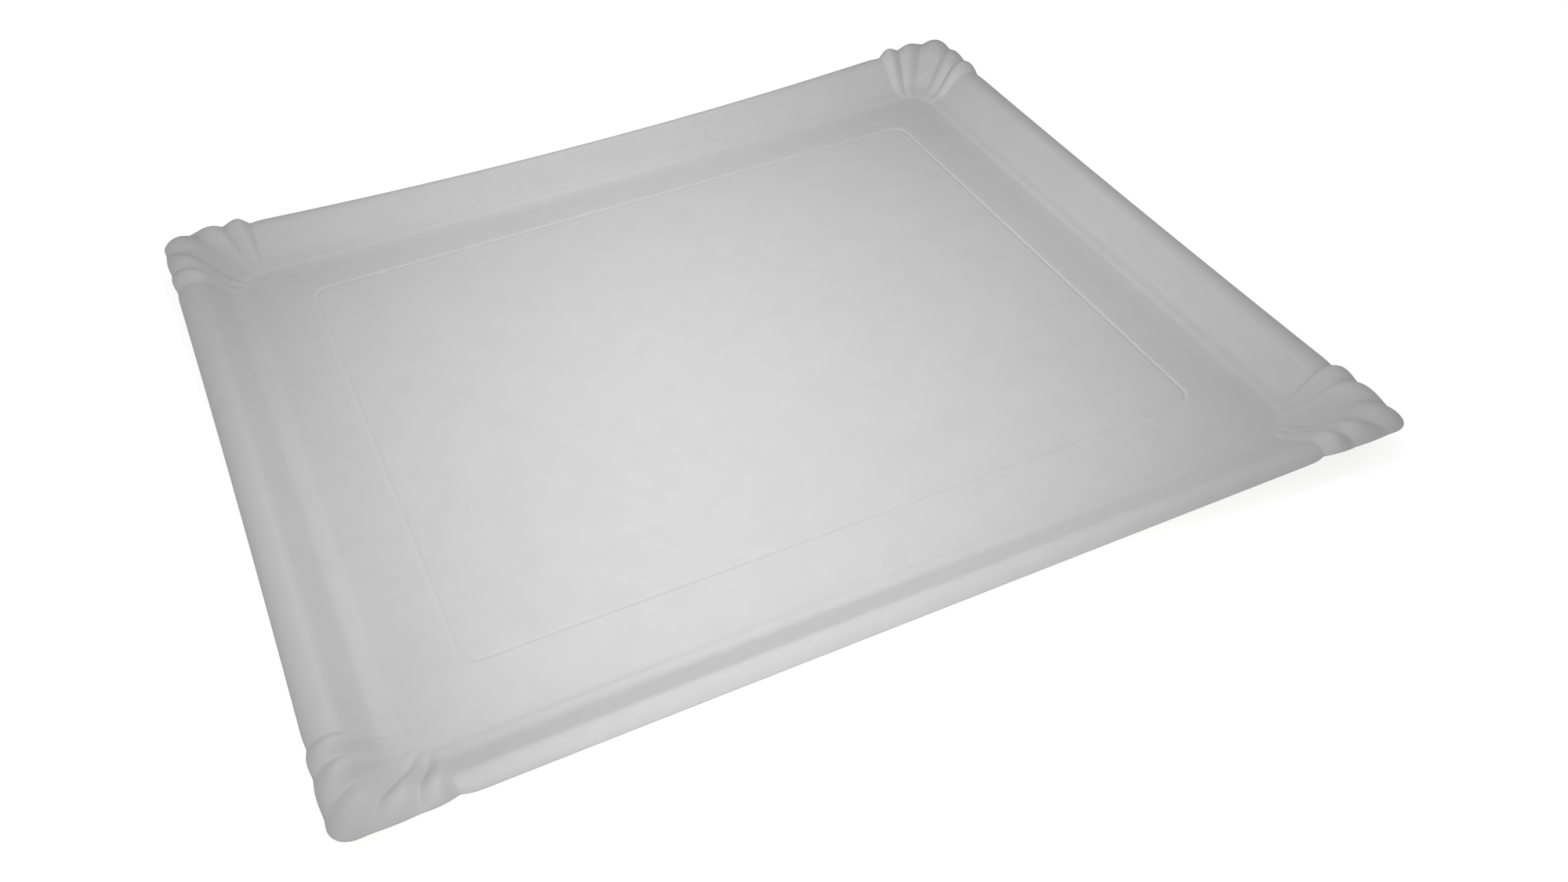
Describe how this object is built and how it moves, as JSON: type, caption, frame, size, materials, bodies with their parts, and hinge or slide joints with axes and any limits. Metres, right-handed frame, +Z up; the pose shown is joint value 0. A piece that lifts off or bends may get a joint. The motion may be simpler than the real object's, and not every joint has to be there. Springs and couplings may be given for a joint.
{
  "type": "paperboard tray",
  "caption": "Shallow rectangular paperboard tray with a sloped rim, a rolled lip, fluted corners and a pressed line around its flat middle.",
  "frame": {"origin": "centre of the tray, at the level its foot ring stands on", "axes": "+X along the long sides, +Y along the short sides, +Z up out of the open side"},
  "size_m": [0.3006, 0.2506, 0.0126],
  "materials": {
    "white_paperboard": "satin"
  },
  "bodies": {
    "root": {"tray": "white_paperboard"}
  },
  "joints": []
}
